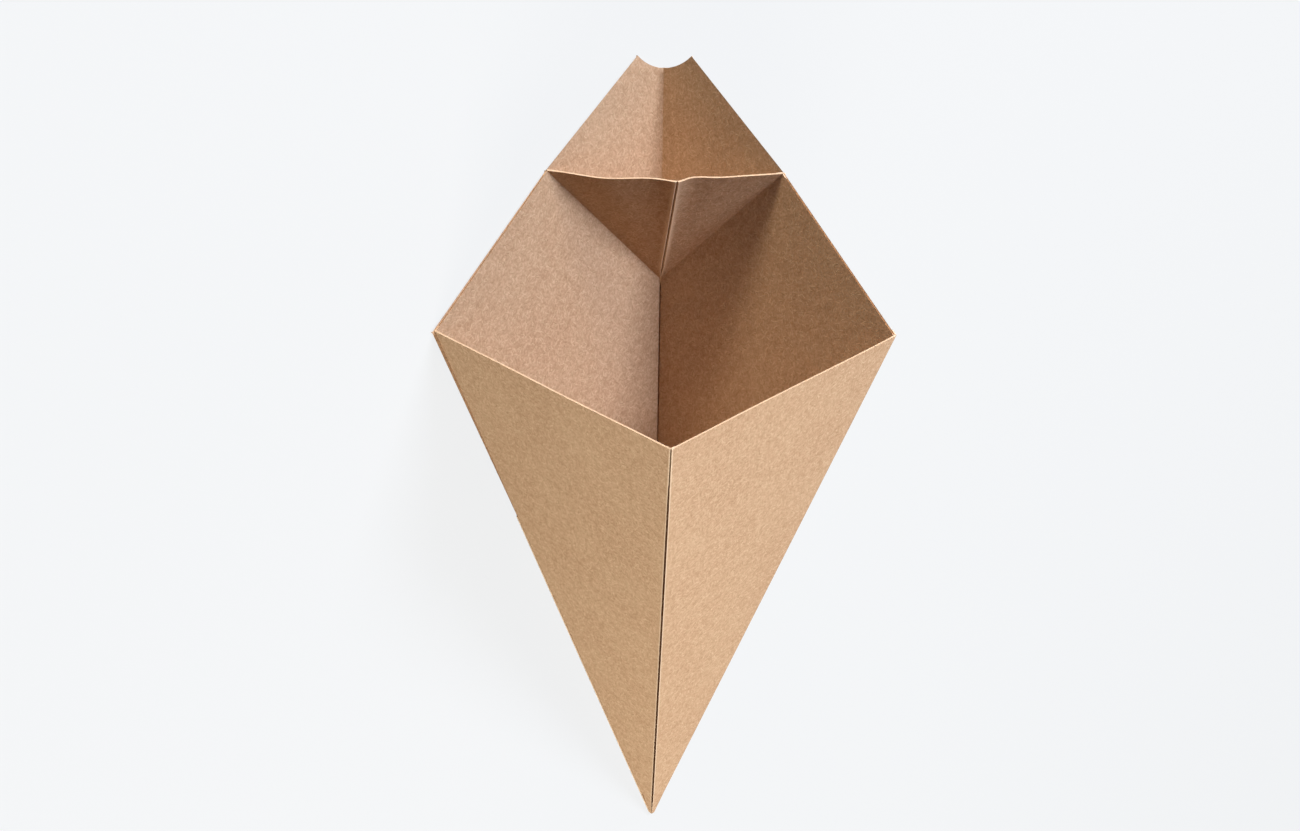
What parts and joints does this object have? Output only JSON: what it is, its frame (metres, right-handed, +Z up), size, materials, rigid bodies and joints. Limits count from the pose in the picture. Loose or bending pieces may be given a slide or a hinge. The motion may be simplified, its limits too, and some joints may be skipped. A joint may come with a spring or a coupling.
{
  "type": "cone paper cup",
  "caption": "Folded kraft-board serving cone with a square mouth, a tall back with a finger notch, and a small dip pocket folded from the same sheet.",
  "frame": {"origin": "under the middle of the cone as it lies on its outer back-left panel", "axes": "+Z up from the surface it lies on, +Y along the back fold from the tip to the peak, -X towards the left fold"},
  "size_m": [0.0854, 0.2136, 0.0816],
  "materials": {
    "kraft_board": "matt unbleached board with fine fibres and paler cut edges"
  },
  "bodies": {
    "root": {"cone_cup": "kraft_board"}
  },
  "joints": []
}
